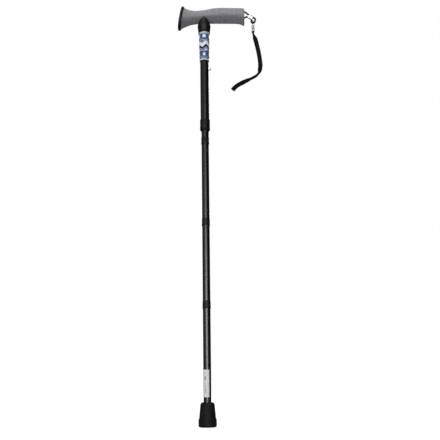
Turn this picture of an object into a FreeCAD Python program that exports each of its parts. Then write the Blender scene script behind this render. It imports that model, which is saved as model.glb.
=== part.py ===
"""Folding walking cane: T handle, four shock-corded tube sections, rubber tip and wrist strap.

Frame: +Z up the shaft, the origin under the tip's middle where it stands on the floor, +X towards
the strap end of the handle, -Y towards the viewer. All sizes are in millimetres.
"""
import FreeCAD, Part
import Sketcher
import math
import os

Vector = FreeCAD.Vector
doc = FreeCAD.newDocument("folding_cane")

# --- driving sizes -------------------------------------------------------------------------------
SIZES = {
    # rubber tip
    "tip_height": 48.0,
    "tip_base_dia": 36.7,
    "tip_waist_dia": 32.4,
    "tip_shoulder_dia": 26.4,
    "tip_mouth_dia": 20.4,
    "tip_ring_height": 15.0,
    "tip_shoulder_drop": 4.5,
    "tip_rounding": 1.2,
    "tread_depth": 1.4,
    "washer_thickness": 1.6,
    "washer_seat": 10.4,
    # shaft: how much of each section shows, from the floor upwards
    "bottom_length": 235.5,
    "lower_length": 174.5,
    "middle_length": 181.0,
    "shown_length": 30.0,
    "inner_tube_dia": 15.875,
    "inner_tube_wall": 1.0,
    # folding joints
    "ferrule_length": 16.0,
    "ferrule_wall": 0.52,
    "ferrule_lip": 0.85,
    "ferrule_lip_height": 2.6,
    "ferrule_ledge": 1.5,
    "spigot_seat": 25.0,
    "spigot_reach": 41.0,
    "cord_dia": 4.0,
    "cord_bore": 6.0,
    "anchor_length": 9.0,
    "bottom_anchor_rise": 127.0,
    "top_anchor_drop": 22.6,
    # height adjuster
    "upper_tube_dia": 19.05,
    "upper_tube_wall": 1.2,
    "upper_tube_length": 234.0,
    "button_dia": 6.8,
    "button_below_socket": 18.0,
    "tube_above_button": 23.2,
    "button_stand": 4.8,
    "hole_pitch": 25.4,
    "hole_count": 5,
    "leaf_thickness": 0.6,
    "leaf_width": 8.0,
    "leaf_length": 34.0,
    "bush_head": 4.0,
    "bush_plug": 8.0,
    "collar_dia": 22.15,
    "collar_length": 26.5,
    "collet_wall": 0.6,
    "collet_slit": 1.0,
    "collet_cover": 2.5,
    "running_gap": 0.05,
    "free_gap": 0.3,
    # handle
    "neck_dia": 26.6,
    "neck_height": 17.8,
    "socket_length": 67.6,
    "socket_low_dia": 20.8,
    "socket_high_dia": 23.4,
    "film_thickness": 0.3,
    "tube_insertion": 83.4,
    "neck_pin_dia": 3.0,
    "crown_height": 15.5,
    "crown_width": 28.4,
    "tongue_thickness": 2.2,
    "grip_above_neck": 7.2,
    "heel_reach": 51.5,
    "nose_reach": 91.0,
    "palm_height": 54.0,
    "palm_depth": 40.0,
    "palm_lean": 10.5,
    "waist_height": 29.6,
    "waist_depth": 28.6,
    "nose_height": 36.8,
    "nose_depth": 30.0,
    "nose_lip": 7.4,
    "nose_round": 2.6,
    "palm_plate": 3.2,
    "cap_stem_dia": 10.0,
    "cap_stem_length": 10.0,
    "spine_dia": 14.0,
    "strap_plug_width": 8.0,
    "strap_plug_height": 23.9,
    "strap_plug_depth": 10.0,
    "plug_hole_depth": 7.0,
    # sticker on the bottom section
    "sticker_low": 58.0,
    "sticker_height": 54.0,
    "sticker_wrap": 150.0,
    # wrist strap
    "anchor_cord_dia": 4.0,
    "strand_spacing": 4.4,
    "crimp_wall": 1.0,
    "cord_crimp_length": 11.0,
    "link_leg": 7.0,
    "webbing_crimp_length": 15.0,
    "webbing_crimp_squeeze": 1.4,
    "link_cord_dia": 2.6,
    "webbing_width": 9.5,
    "webbing_thickness": 1.4,
    "ply_gap": 1.9,
}

sheet = doc.addObject("Spreadsheet::Sheet", "sizes")
for row, (alias, amount) in enumerate(SIZES.items(), start=1):
    sheet.set(f"A{row}", alias)
    sheet.set(f"B{row}", str(amount))
    sheet.setAlias(f"B{row}", alias)
doc.recompute()


class Size:
    """A length that knows its formula on the sheet and its value."""

    def __init__(self, text, value):
        self.text = text
        self.value = value

    @staticmethod
    def of(thing):
        return thing if isinstance(thing, Size) else Size(repr(float(thing)), float(thing))

    def __add__(self, other):
        other = Size.of(other)
        return Size(f"({self.text} + {other.text})", self.value + other.value)

    def __radd__(self, other):
        return Size.of(other) + self

    def __sub__(self, other):
        other = Size.of(other)
        return Size(f"({self.text} - {other.text})", self.value - other.value)

    def __rsub__(self, other):
        return Size.of(other) - self

    def __mul__(self, other):
        other = Size.of(other)
        return Size(f"({self.text} * {other.text})", self.value * other.value)

    __rmul__ = __mul__

    def __truediv__(self, other):
        other = Size.of(other)
        return Size(f"({self.text} / {other.text})", self.value / other.value)

    def __neg__(self):
        return self * -1


def size(alias):
    return Size(f"sizes.{alias}", float(sheet.get(alias)))


# --- radii and heights worked out from the sizes -------------------------------------------------
tube_r = size("inner_tube_dia") / 2
bore_r = tube_r - size("inner_tube_wall")
outer_r = size("upper_tube_dia") / 2
outer_bore_r = outer_r - size("upper_tube_wall")
running_gap = size("running_gap")
free_gap = size("free_gap")

tube_foot = size("washer_seat") + size("washer_thickness")
joint_3 = size("bottom_length")
joint_2 = joint_3 + size("lower_length")
joint_1 = joint_2 + size("middle_length")
collar_foot = joint_1 + size("shown_length")
collar_top = collar_foot + size("collar_length")
upper_foot = collar_foot + size("collar_length") / 2
upper_top = upper_foot + size("upper_tube_length")
socket_foot = upper_top - size("tube_insertion")
button_height = socket_foot - size("button_below_socket")
inner_top = button_height + size("tube_above_button")
neck_foot = socket_foot + size("socket_length")
neck_top = neck_foot + size("neck_height")
grip_base = neck_top + size("grip_above_neck")
neck_r = size("neck_dia") / 2
spine_height = grip_base + size("waist_height") / 2 + 2


# --- helpers -------------------------------------------------------------------------------------
def origin_plane(body, role):
    """One of a body's own origin planes."""
    return next(item for item in body.Origin.OriginFeatures if item.Role == role)


def draw(sketch, corners):
    """Add a closed outline of straight edges, each corner tied to its two sizes."""
    corners = [(Size.of(across), Size.of(up)) for across, up in corners]
    places = [Vector(across.value, up.value, 0) for across, up in corners]
    first = sketch.GeometryCount
    count = len(corners)
    for index in range(count):
        sketch.addGeometry(Part.LineSegment(places[index], places[(index + 1) % count]))
    for index, (across, up) in enumerate(corners):
        edge = first + index
        before = first + (index - 1) % count
        sketch.addConstraint(Sketcher.Constraint("Coincident", before, 2, edge, 1))
        for kind, wanted in (("DistanceX", across), ("DistanceY", up)):
            if abs(wanted.value) < 1e-9:
                # a corner that lies on an axis is held there
                axis = -2 if kind == "DistanceX" else -1
                sketch.addConstraint(Sketcher.Constraint("PointOnObject", edge, 1, axis))
                continue
            tie = Sketcher.Constraint(kind, -1, 1, edge, 1, wanted.value)
            number = sketch.addConstraint(tie)
            sketch.setExpression(f"Constraints[{number}]", wanted.text)


def sketch_on(body, role, name, *outlines):
    sketch = body.newObject("Sketcher::SketchObject", name)
    sketch.AttachmentSupport = (origin_plane(body, role), "")
    sketch.MapMode = "FlatFace"
    for corners in outlines:
        draw(sketch, corners)
    return sketch


def turned(name, corners, angle=360):
    """A body of revolution about Z, from an outline of (radius, height) corners."""
    body = doc.addObject("PartDesign::Body", name)
    sketch = sketch_on(body, "XZ_Plane", f"{name}_outline", corners)
    turn = body.newObject("PartDesign::Revolution", f"{name}_turn")
    turn.Profile = sketch
    turn.ReferenceAxis = (sketch, ["V_Axis"])
    turn.Angle = angle
    sketch.Visibility = False
    doc.recompute()
    return body


def tube(name, inner, outer, low, high):
    return turned(name, [(inner, low), (outer, low), (outer, high), (inner, high)])


def grooved(body, name, *outlines):
    """Turn grooves into a body, from (radius, height) outlines."""
    sketch = sketch_on(body, "XZ_Plane", f"{name}_outline", *outlines)
    groove = body.newObject("PartDesign::Groove", name)
    groove.Profile = sketch
    groove.ReferenceAxis = (sketch, ["V_Axis"])
    groove.Angle = 360
    sketch.Visibility = False
    doc.recompute()
    return body


def softened(body, rim_radius, *rims):
    """Round the circular edges at the given (radius, height) places."""
    wanted = [(Size.of(across).value, Size.of(up).value) for across, up in rims]
    rounded = body.Tip
    names = []
    for number, edge in enumerate(body.Shape.Edges, start=1):
        if not isinstance(edge.Curve, Part.Circle):
            continue
        for across, up in wanted:
            near = abs(edge.Curve.Radius - across) < 0.01
            level = abs(edge.Curve.Center.z - up) < 0.01
            if near and level:
                names.append(f"Edge{number}")
    fillet = body.newObject("PartDesign::Fillet", f"{body.Name}_rounding")
    fillet.Base = (rounded, names)
    fillet.Radius = rim_radius.value
    fillet.setExpression("Radius", rim_radius.text)
    before = body.Shape.Volume
    doc.recompute()
    assert body.Shape.Volume < before, f"{fillet.Name} rounds nothing"
    return body


def drilled(body, name, radius, height):
    """A round hole through the +X wall of a tube, with its axis at a height."""
    sketch = body.newObject("Sketcher::SketchObject", f"{name}_circle")
    sketch.AttachmentSupport = (origin_plane(body, "YZ_Plane"), "")
    sketch.MapMode = "FlatFace"
    centre = Vector(0, height.value, 0)
    sketch.addGeometry(Part.Circle(centre, Vector(0, 0, 1), radius.value))
    sketch.addConstraint(Sketcher.Constraint("PointOnObject", 0, 3, -2))
    up = sketch.addConstraint(Sketcher.Constraint("DistanceY", -1, 1, 0, 3, height.value))
    sketch.setExpression(f"Constraints[{up}]", height.text)
    across = sketch.addConstraint(Sketcher.Constraint("Radius", 0, radius.value))
    sketch.setExpression(f"Constraints[{across}]", radius.text)
    before = body.Shape.Volume
    pocket = body.newObject("PartDesign::Pocket", name)
    pocket.Profile = sketch
    pocket.Type = "ThroughAll"
    pocket.Reversed = True
    sketch.Visibility = False
    doc.recompute()
    assert body.Shape.Volume < before - 0.1, f"{name} cuts nothing"
    return pocket


def primitive(kind, name, place, **measures):
    """A Part primitive with its measures and its place tied to sizes."""
    item = doc.addObject(kind, name)
    for measure, wanted in measures.items():
        wanted = Size.of(wanted)
        setattr(item, measure, wanted.value)
        item.setExpression(measure, wanted.text)
    position, rotation = place
    x, y, z = (Size.of(value) for value in position)
    item.Placement = FreeCAD.Placement(Vector(x.value, y.value, z.value), rotation)
    for letter, wanted in (("x", x), ("y", y), ("z", z)):
        item.setExpression(f"Placement.Base.{letter}", wanted.text)
    return item


UPRIGHT = FreeCAD.Rotation()
ALONG_X = FreeCAD.Rotation(Vector(0, 1, 0), 90)


def joined(name, *items):
    fuse = doc.addObject("Part::MultiFuse", name)
    fuse.Shapes = list(items)
    doc.recompute()
    return fuse


def cut(name, base, tool):
    result = doc.addObject("Part::Cut", name)
    result.Base = base
    result.Tool = tool
    doc.recompute()
    return result


def shared(name, first, second):
    result = doc.addObject("Part::Common", name)
    result.Base = first
    result.Tool = second
    doc.recompute()
    return result


def solid_feature(name, shape):
    """A piece whose shape is built with Part's own functions."""
    feature = doc.addObject("Part::Feature", name)
    feature.Shape = shape
    return feature


pieces = {}


def keep(item, name=None):
    """List a finished piece under the name of its node."""
    item.Label = name or item.Name
    pieces[item.Label] = item
    return item


# --- rubber tip ----------------------------------------------------------------------------------
base_r = size("tip_base_dia") / 2
waist_r = size("tip_waist_dia") / 2
shoulder_r = size("tip_shoulder_dia") / 2
mouth_r = size("tip_mouth_dia") / 2
ring_top = size("tip_ring_height")
tip_top = size("tip_height")
washer_seat = size("washer_seat")
ridge = (base_r - waist_r) / 2

rubber_tip = turned(
    "rubber_tip",
    [
        (0, 0),
        (base_r, 0),
        (base_r, ring_top),
        (waist_r + ridge, ring_top + ridge * 0.6),
        (waist_r, ring_top + ridge * 1.6),
        (shoulder_r, tip_top - size("tip_shoulder_drop")),
        (mouth_r, tip_top),
        (tube_r, tip_top),
        (tube_r, washer_seat),
        (0, washer_seat),
    ],
)
tread = size("tread_depth")
treads = []
for share in (0.42, 0.6, 0.78):
    tread_r = base_r * share
    treads.append([(tread_r, 0), (tread_r + tread, 0), (tread_r + tread, tread), (tread_r, tread)])
grooved(rubber_tip, "tread_rings", *treads)
softened(rubber_tip, size("tip_rounding"), (base_r, 0), (base_r, ring_top))
keep(rubber_tip)

keep(tube("tip_washer", size("cord_bore") / 2, tube_r - running_gap, washer_seat, tube_foot))


# --- folding sections ----------------------------------------------------------------------------
def ferrule(name, foot):
    """The sleeve on a tube's lower end, with a lip and a ledge under the tube's edge."""
    sleeve_r = tube_r + size("ferrule_wall")
    lip_r = tube_r + size("ferrule_lip")
    top = foot + size("ferrule_length")
    body = turned(
        name,
        [
            (bore_r + running_gap, foot),
            (lip_r, foot),
            (lip_r, foot + size("ferrule_lip_height")),
            (sleeve_r, foot + size("ferrule_lip_height") * 1.4),
            (sleeve_r, top - 0.8),
            (tube_r + 0.1, top),
            (tube_r, top),
            (tube_r, foot + size("ferrule_ledge")),
            (bore_r + running_gap, foot + size("ferrule_ledge")),
        ],
    )
    return keep(body)


def spigot(name, foot):
    """The plug that is pressed into a lower tube and slides up into the tube above."""
    slide_r = bore_r - running_gap
    nose_r = slide_r - 1.4
    top = foot + size("spigot_reach")
    body = turned(
        name,
        [
            (size("cord_bore") / 2, foot - size("spigot_seat")),
            (bore_r, foot - size("spigot_seat")),
            (bore_r, foot),
            (slide_r, foot),
            (slide_r, top - 4),
            (nose_r, top),
            (size("cord_bore") / 2, top),
        ],
    )
    return keep(body)


keep(tube("bottom_tube", bore_r, tube_r, tube_foot, joint_3))
keep(tube("lower_tube", bore_r, tube_r, joint_3 + size("ferrule_ledge"), joint_2))
keep(tube("middle_tube", bore_r, tube_r, joint_2 + size("ferrule_ledge"), joint_1))
inner_tube = tube("inner_tube", bore_r, tube_r, joint_1 + size("ferrule_ledge"), inner_top)

for number, foot in ((1, joint_1), (2, joint_2), (3, joint_3)):
    ferrule(f"ferrule_{number}", foot)
    spigot(f"spigot_{number}", foot)

# the sticker wraps the left and front of the bottom section
sticker = turned(
    "sticker",
    [
        (tube_r, size("sticker_low")),
        (tube_r + size("film_thickness") / 2, size("sticker_low")),
        (tube_r + size("film_thickness") / 2, size("sticker_low") + size("sticker_height")),
        (tube_r, size("sticker_low") + size("sticker_height")),
    ],
    angle=SIZES["sticker_wrap"],
)
sticker.Placement = FreeCAD.Placement(Vector(), FreeCAD.Rotation(Vector(0, 0, 1), 150))
keep(sticker)

# --- shock cord and its two anchors --------------------------------------------------------------
leaf = size("leaf_thickness")
leg_x = bore_r * 0.72
fold_foot = button_height - size("leaf_length") + leg_x
spring_foot = fold_foot - leg_x * 0.75 - leaf

cord_r = size("cord_dia") / 2
low_knot = tube_foot + size("bottom_anchor_rise")
high_knot = spring_foot - size("top_anchor_drop")
anchor_bore = cord_r + running_gap * 4
keep(tube("bottom_anchor", anchor_bore, bore_r, low_knot, low_knot + size("anchor_length")))
keep(tube("top_anchor", anchor_bore, bore_r, high_knot - size("anchor_length"), high_knot))

knot_r = cord_r * 2.2
keep(
    turned(
        "shock_cord",
        [
            (0, low_knot - knot_r * 1.8),
            (knot_r * 0.7, low_knot - knot_r * 1.6),
            (knot_r, low_knot - knot_r * 0.9),
            (knot_r * 0.7, low_knot),
            (cord_r, low_knot),
            (cord_r, high_knot),
            (knot_r * 0.7, high_knot),
            (knot_r, high_knot + knot_r * 0.9),
            (knot_r * 0.7, high_knot + knot_r * 1.6),
            (0, high_knot + knot_r * 1.8),
        ],
    )
)

# --- height adjuster -----------------------------------------------------------------------------
button_r = size("button_dia") / 2
drilled(inner_tube, "button_hole", button_r + free_gap / 2, button_height)
keep(inner_tube)

holed_tube = tube("holed_tube", outer_bore_r, outer_r, upper_foot, upper_top)
first_hole = drilled(holed_tube, "top_hole", button_r + free_gap / 2, button_height)
row = holed_tube.newObject("PartDesign::LinearPattern", "hole_row")
row.Originals = [first_hole]
row.Direction = (first_hole.Profile[0], ["V_Axis"])
row.Reversed = True
row.Length = SIZES["hole_pitch"] * (SIZES["hole_count"] - 1)
row.setExpression("Length", "sizes.hole_pitch * (sizes.hole_count - 1)")
row.Occurrences = SIZES["hole_count"]
row.setExpression("Occurrences", "sizes.hole_count")
holed_tube.Tip = row
doc.recompute()

keep(
    turned(
        "slide_bush",
        [
            (size("cord_bore") / 2, inner_top - size("bush_plug")),
            (bore_r, inner_top - size("bush_plug")),
            (bore_r, inner_top),
            (outer_bore_r - running_gap, inner_top),
            (outer_bore_r - running_gap, inner_top + size("bush_head") - 0.6),
            (outer_bore_r - running_gap - 0.6, inner_top + size("bush_head")),
            (size("cord_bore") / 2, inner_top + size("bush_head")),
        ],
    )
)

# the leaf spring: two legs joined by a fold below, the button's leg on the +X side
leaf_top = button_height + size("button_dia") * 0.75
snap_spring = doc.addObject("PartDesign::Body", "snap_spring")
leaf_sketch = sketch_on(
    snap_spring,
    "XZ_Plane",
    "snap_spring_outline",
    [
        (leg_x, leaf_top),
        (leg_x - leaf, leaf_top),
        (leg_x - leaf, fold_foot),
        (leg_x * 0.45, fold_foot - leg_x * 0.75),
        (-leg_x * 0.45, fold_foot - leg_x * 0.75),
        (leaf - leg_x, fold_foot),
        (leaf - leg_x, leaf_top),
        (-leg_x, leaf_top),
        (-leg_x, fold_foot),
        (-leg_x * 0.55, spring_foot),
        (leg_x * 0.55, spring_foot),
        (leg_x, fold_foot),
    ],
)
leaf_pad = snap_spring.newObject("PartDesign::Pad", "snap_spring_pad")
leaf_pad.Profile = leaf_sketch
leaf_pad.SideType = "Symmetric"
leaf_pad.Length = SIZES["leaf_width"]
leaf_pad.setExpression("Length", "sizes.leaf_width")
leaf_sketch.Visibility = False
doc.recompute()
keep(snap_spring)

# the button: a round pin with a domed end, turned about its own axis and laid along X
dome = button_r * 0.45
button_end = outer_r + size("button_stand") - leg_x
snap_button = turned(
    "snap_button",
    [
        (0, 0),
        (button_r, 0),
        (button_r, button_end - dome),
        (button_r * 0.86, button_end - dome * 0.45),
        (button_r * 0.55, button_end - dome * 0.1),
        (0, button_end),
    ],
)
snap_button.Placement = FreeCAD.Placement(Vector(leg_x.value, 0, button_height.value), ALONG_X)
snap_button.setExpression("Placement.Base.x", leg_x.text)
snap_button.setExpression("Placement.Base.z", button_height.text)
keep(snap_button)

# the collet bush: its upper half sleeves the tube's end, its lower fingers hug the inner tube
collet_r = outer_r + size("collet_wall")
collet_foot = collar_foot + size("collet_cover")
collet_bush = turned(
    "collet_bush",
    [
        (tube_r + running_gap, collet_foot),
        (collet_r - 1.1, collet_foot),
        (collet_r, collet_foot + 4.5),
        (collet_r, collar_top - 2),
        (outer_r, collar_top - 2),
        (outer_r, upper_foot),
        (tube_r + running_gap, upper_foot),
    ],
)
slit_sketch = sketch_on(
    collet_bush,
    "XZ_Plane",
    "collet_slit_outline",
    [
        (-(collet_r + 1), collet_foot - 1),
        (collet_r + 1, collet_foot - 1),
        (collet_r + 1, upper_foot - 2),
        (-(collet_r + 1), upper_foot - 2),
    ],
)
collet_slit = collet_bush.newObject("PartDesign::Pocket", "collet_slit")
collet_slit.Profile = slit_sketch
collet_slit.SideType = "Symmetric"
collet_slit.Length = SIZES["collet_slit"]
collet_slit.setExpression("Length", "sizes.collet_slit")
slit_sketch.Visibility = False
doc.recompute()
crossed = collet_bush.newObject("PartDesign::PolarPattern", "collet_slits")
crossed.Originals = [collet_slit]
crossed.Axis = (origin_plane(collet_bush, "Z_Axis"), [""])
crossed.Angle = 360
crossed.Occurrences = 4
collet_bush.Tip = crossed
doc.recompute()
keep(collet_bush)

collar_r = size("collar_dia") / 2
keep(
    turned(
        "locking_collar",
        [
            (tube_r + free_gap, collar_foot),
            (collar_r - 1.4, collar_foot),
            (collar_r - 0.2, collar_foot + 3.4),
            (collar_r - 0.9, collar_foot + 3.8),
            (collar_r - 0.9, collar_foot + 5.2),
            (collar_r, collar_foot + 5.6),
            (collar_r, collar_foot + 9.2),
            (collar_r - 0.35, collar_foot + 9.8),
            (collar_r - 0.35, collar_top - 1.2),
            (collar_r - 1.0, collar_top),
            (outer_r + free_gap, collar_top),
            (outer_r + free_gap, collar_top - 2 + free_gap),
            (collet_r + free_gap, collar_top - 2 + free_gap),
            (collet_r + free_gap, collet_foot + 4.3),
            (collet_r + free_gap - 1.1, collet_foot - free_gap),
            (tube_r + free_gap, collet_foot - free_gap),
        ],
    )
)

# --- handle --------------------------------------------------------------------------------------
film = size("film_thickness")
low_r = size("socket_low_dia") / 2
high_r = size("socket_high_dia") / 2
groove_foot = neck_foot + 2.7
neck = turned(
    "neck",
    [
        (outer_r, socket_foot),
        (low_r, socket_foot),
        (high_r, neck_foot),
        (neck_r, neck_foot),
        (neck_r, groove_foot),
        (neck_r - 0.7, groove_foot + 0.5),
        (neck_r - 0.7, groove_foot + 1.3),
        (neck_r, groove_foot + 1.8),
        (neck_r, neck_top),
        (0, neck_top),
        (0, upper_top),
        (outer_r, upper_top),
    ],
)
keep(
    turned(
        "label_film",
        [
            (low_r, socket_foot),
            (low_r + film, socket_foot),
            (high_r + film, neck_foot),
            (high_r, neck_foot),
        ],
    )
)

# a hidden pin holds the tube in the socket, under the label
pin_height = socket_foot + size("socket_length") * 0.6
pin_half = low_r + 0.3
pin_place = ((-pin_half, 0, pin_height), ALONG_X)
neck_pin = primitive(
    "Part::Cylinder", "neck_pin", pin_place, Radius=size("neck_pin_dia") / 2, Height=pin_half * 2
)
keep(neck_pin)
keep(cut("upper_tube", holed_tube, neck_pin))


def superellipse(centre, half_height, half_depth, lean=0.0):
    """A closed smooth section across X: fuller than an ellipse, leaning about Y by an angle."""
    fullness = 2.35
    count = 28
    points = []
    for step in range(count):
        turn = 2 * math.pi * step / count
        across = abs(math.cos(turn)) ** (2 / fullness) * math.copysign(1, math.cos(turn))
        up = abs(math.sin(turn)) ** (2 / fullness) * math.copysign(1, math.sin(turn))
        rise = up * half_height
        forward = rise * math.sin(math.radians(lean))
        points.append(centre + Vector(forward, across * half_depth, rise * math.cos(math.radians(lean))))
    curve = Part.BSplineCurve()
    curve.interpolate(Points=points, PeriodicFlag=True)
    return Part.Wire([curve.toShape()])


def grip_blank():
    """The grip's outer form, lofted from the flared palm end to the nose."""
    heel, nose = SIZES["heel_reach"], SIZES["nose_reach"]
    waist_up, waist_in = SIZES["waist_height"], SIZES["waist_depth"] / 2
    nose_up, nose_in = SIZES["nose_height"], SIZES["nose_depth"] / 2
    palm_up, palm_in = SIZES["palm_height"], SIZES["palm_depth"] / 2
    base = grip_base.value
    top = base + waist_up
    palm_top = top + (palm_up - waist_up) * 0.41
    # each station: place along X, top, underside, half depth
    stations = [
        (-heel * 0.8, palm_top - 6.0, base - (palm_up - waist_up) * 0.27, palm_in * 0.8),
        (-heel * 0.6, top + 1.2, base - (palm_up - waist_up) * 0.08, waist_in * 1.04),
        (-heel * 0.34, top, base, waist_in),
        (heel * 0.04, top + 2.0, base, waist_in),
        (nose * 0.25, base + nose_up - 1.2, base - 0.2, (waist_in + nose_in) / 2),
        (nose * 0.5, base + nose_up - 0.4, base - 0.5, nose_in),
        (nose * 0.72, base + nose_up - 1.1, base - 1.3, nose_in),
        (nose * 0.9, base + nose_up - 1.8, base - 3.0, nose_in),
        (nose, base + nose_up - 2.4, base - SIZES["nose_lip"], nose_in * 0.98),
    ]
    palm_middle = palm_top - palm_up / 2
    end = Vector(-heel, 0, palm_middle)
    sections = [superellipse(end, palm_up / 2, palm_in, SIZES["palm_lean"])]
    for place, high, low, depth in stations:
        sections.append(superellipse(Vector(place, 0, (high + low) / 2), (high - low) / 2, depth))
    loft = Part.makeLoft(sections, True, False)
    rim = [edge for edge in loft.Edges if min(v.Point.x for v in edge.Vertexes) > nose - 0.1]
    return loft.makeFillet(SIZES["nose_round"], rim), end


grip_shape, palm_centre = grip_blank()
grip_form = solid_feature("grip_form", grip_shape)

# the crown: two pointed tongues that rise from the neck over the grip's front and back
crown_half = size("crown_width") / 2
crown_top = neck_top + size("crown_height")
crown_sheet = doc.addObject("PartDesign::Body", "crown_sheet")
crown_sketch = sketch_on(
    crown_sheet,
    "XZ_Plane",
    "crown_outline",
    [
        (-neck_r, neck_top - 1),
        (neck_r, neck_top - 1),
        (crown_half, neck_top + 2.0),
        (crown_half * 0.86, neck_top + size("crown_height") * 0.37),
        (crown_half * 0.62, neck_top + size("crown_height") * 0.64),
        (crown_half * 0.34, neck_top + size("crown_height") * 0.86),
        (crown_half * 0.14, crown_top - 0.7),
        (0, crown_top),
        (-crown_half * 0.14, crown_top - 0.7),
        (-crown_half * 0.34, neck_top + size("crown_height") * 0.86),
        (-crown_half * 0.62, neck_top + size("crown_height") * 0.64),
        (-crown_half * 0.86, neck_top + size("crown_height") * 0.37),
        (-crown_half, neck_top + 2.0),
    ],
)
crown_pad = crown_sheet.newObject("PartDesign::Pad", "crown_pad")
crown_pad.Profile = crown_sketch
crown_pad.SideType = "Symmetric"
crown_pad.Length = 2 * (SIZES["nose_depth"] / 2 + SIZES["tongue_thickness"] + 5)
crown_pad.setExpression("Length", "sizes.nose_depth + 2 * sizes.tongue_thickness + 10")
crown_sketch.Visibility = False
doc.recompute()
crown_cone = primitive(
    "Part::Cone",
    "crown_cone",
    ((0, 0, neck_top - 1), UPRIGHT),
    Radius1=neck_r,
    Radius2=size("waist_depth") / 2 + size("tongue_thickness"),
    Height=size("crown_height") * 0.55,
)
crown_drum = primitive(
    "Part::Cylinder",
    "crown_drum",
    ((0, 0, neck_top - 1 + size("crown_height") * 0.55), UPRIGHT),
    Radius=size("waist_depth") / 2 + size("tongue_thickness"),
    Height=size("crown_height"),
)
crown_bulge = joined("crown_bulge", crown_cone, crown_drum)
crown_block = shared("crown_block", crown_sheet, crown_bulge)
crown = cut("crown", crown_block, grip_form)

# inside the grip: an upright post and a spine along the handle
post = primitive(
    "Part::Cylinder",
    "post",
    ((0, 0, neck_top - 1), UPRIGHT),
    Radius=size("spine_dia") * 0.6,
    Height=spine_height - neck_top + 1,
)
spine_foot = -size("heel_reach") + 13
spine_end = size("nose_reach") - size("strap_plug_depth") - 3
spine_place = ((spine_foot, 0, spine_height), ALONG_X)
spine = primitive(
    "Part::Cylinder", "spine", spine_place, Radius=size("spine_dia") / 2, Height=spine_end - spine_foot
)
core_blank = joined("core_blank", neck, crown, post, spine)
keep(cut("handle_core", core_blank, neck_pin))

# the palm end cap: a bevelled plate on the flared end, with a stem that plugs into the grip
lean = math.radians(SIZES["palm_lean"])
outward = Vector(-math.cos(lean), 0, math.sin(lean))


def plate_rim(distance, share):
    """The palm end's outline, moved outwards and drawn in by a share."""
    half_height, half_depth = SIZES["palm_height"] / 2, SIZES["palm_depth"] / 2
    centre = palm_centre + outward * distance
    return superellipse(centre, half_height * share, half_depth * share, SIZES["palm_lean"])


plate = Part.makeLoft([plate_rim(0, 1.0), plate_rim(SIZES["palm_plate"] * 0.5, 1.0)], True, True)
crown_face = [plate_rim(SIZES["palm_plate"] * 0.5, 1.0), plate_rim(SIZES["palm_plate"], 0.93)]
plate = plate.fuse(Part.makeLoft(crown_face, True, True))
stem = Part.makeCylinder(SIZES["cap_stem_dia"] / 2, SIZES["cap_stem_length"], palm_centre, -outward)
keep(solid_feature("palm_end_cap", plate.fuse(stem).removeSplitter()))

# the strap plug: an upright oval block in the nose, with two blind holes for the anchor cord
plug_half = (SIZES["strap_plug_height"] - SIZES["strap_plug_width"]) / 2
plug_middle = grip_base.value + SIZES["nose_height"] / 2 + 2.1
plug_face = SIZES["nose_reach"]


def oval_bar(width, thickness, length, centre, along, across):
    """A bar with round sides: its section is width along across, its length runs along along."""
    radius = thickness / 2
    reach = (width - thickness) / 2
    start = centre - along * (length / 2)
    third = along.cross(across)
    corners = []
    for side, face in ((-1, -1), (1, -1), (1, 1), (-1, 1)):
        corners.append(start + across * (side * reach) + third * (face * radius))
    flat = Part.Face(Part.makePolygon(corners + corners[:1])).extrude(along * length)
    ends = [Part.makeCylinder(radius, length, start + across * side, along) for side in (-reach, reach)]
    return flat.fuse(ends).removeSplitter()


plug_block = oval_bar(
    SIZES["strap_plug_height"],
    SIZES["strap_plug_width"],
    SIZES["strap_plug_depth"],
    Vector(plug_face - SIZES["strap_plug_depth"] / 2, 0, plug_middle),
    Vector(1, 0, 0),
    Vector(0, 0, 1),
)
hole_depth = SIZES["plug_hole_depth"]
holes = []
for rise in (-plug_half, plug_half):
    start = Vector(plug_face - hole_depth, 0, plug_middle + rise)
    radius = SIZES["anchor_cord_dia"] / 2
    holes.append(Part.makeCylinder(radius, hole_depth, start, Vector(1, 0, 0)))
plug_form = solid_feature("plug_form", plug_block)
keep(solid_feature("strap_plug", plug_block.cut(Part.makeCompound(holes))))

# the soft grip, hollowed for the core, the cap's stem and the strap plug
stem_form = solid_feature("stem_form", stem)
grip_hollow = joined("grip_hollow", post, spine, stem_form, plug_form)
keep(cut("grip_sleeve", grip_form, grip_hollow))

# --- wrist strap ---------------------------------------------------------------------------------
cord_radius = SIZES["anchor_cord_dia"] / 2
crimp_wall = SIZES["crimp_wall"]
high_hole = plug_middle + plug_half
low_hole = plug_middle - plug_half
hole_end = plug_face - hole_depth


def smooth_route(name, points):
    """Straight runs joined by tangent arcs, each as large as its two runs allow."""
    edges, radii = [], []
    start = points[0]
    for before, corner, after in zip(points, points[1:], points[2:]):
        arrive = (corner - before).normalize()
        leave = (after - corner).normalize()
        turn = arrive.getAngle(leave)
        trim = 0.45 * min((corner - before).Length, (after - corner).Length)
        radii.append(trim / math.tan(turn / 2))
        enter, exit_ = corner - arrive * trim, corner + leave * trim
        inward = (leave - arrive).normalize()
        middle = corner + inward * (radii[-1] / math.cos(turn / 2) - radii[-1])
        edges.append(Part.LineSegment(start, enter).toShape())
        edges.append(Part.Arc(enter, middle, exit_).toShape())
        start = exit_
    edges.append(Part.LineSegment(start, points[-1]).toShape())
    wire = Part.Wire(edges)
    print(name, "length", round(wire.Length, 1), "radii", [round(radius, 1) for radius in radii])
    return wire


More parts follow.
